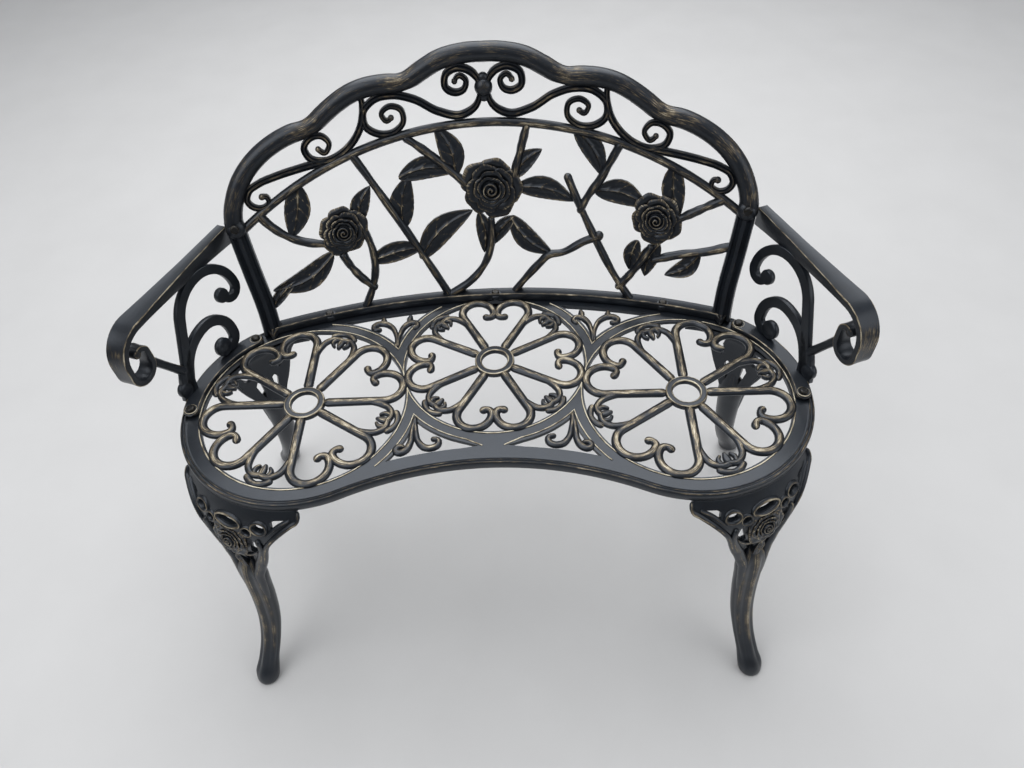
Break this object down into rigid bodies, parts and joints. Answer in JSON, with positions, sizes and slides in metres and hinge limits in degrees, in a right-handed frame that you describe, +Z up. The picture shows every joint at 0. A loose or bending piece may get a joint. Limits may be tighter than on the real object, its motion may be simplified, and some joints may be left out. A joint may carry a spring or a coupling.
{
  "type": "garden bench",
  "caption": "Cast aluminium garden bench with a kidney-shaped medallion seat, arched rose-pattern back, scroll arms and splayed cabriole legs.",
  "frame": {"origin": "centre of the bounding box on the ground plane, under the feet", "axes": "+X to the right for someone who stands before the bench and looks at it, +Y to the back rest, +Z up; the front faces -Y"},
  "size_m": [1.0016, 0.582, 0.7814],
  "materials": {
    "painted_casting": "satin black paint, dry-brushed with antique gold on edges and crests",
    "fasteners": "dark plated steel"
  },
  "bodies": {
    "root": {"seat_casting": "painted_casting", "back_casting": "painted_casting", "right_arm_casting": "painted_casting", "left_arm_casting": "painted_casting", "right_front_leg_casting": "painted_casting", "left_front_leg_casting": "painted_casting", "right_rear_leg_casting": "painted_casting", "left_rear_leg_casting": "painted_casting", "back_rail_bolts": "fasteners", "back_rail_washers": "fasteners", "back_rail_nuts": "fasteners", "right_arm_seat_bolts": "fasteners", "right_arm_seat_washers": "fasteners", "right_arm_seat_nuts": "fasteners", "left_arm_seat_bolts": "fasteners", "left_arm_seat_washers": "fasteners", "left_arm_seat_nuts": "fasteners", "arm_post_bolts": "fasteners", "arm_post_washers": "fasteners", "arm_post_nuts": "fasteners", "leg_screws": "fasteners", "leg_washers": "fasteners"}
  },
  "joints": []
}
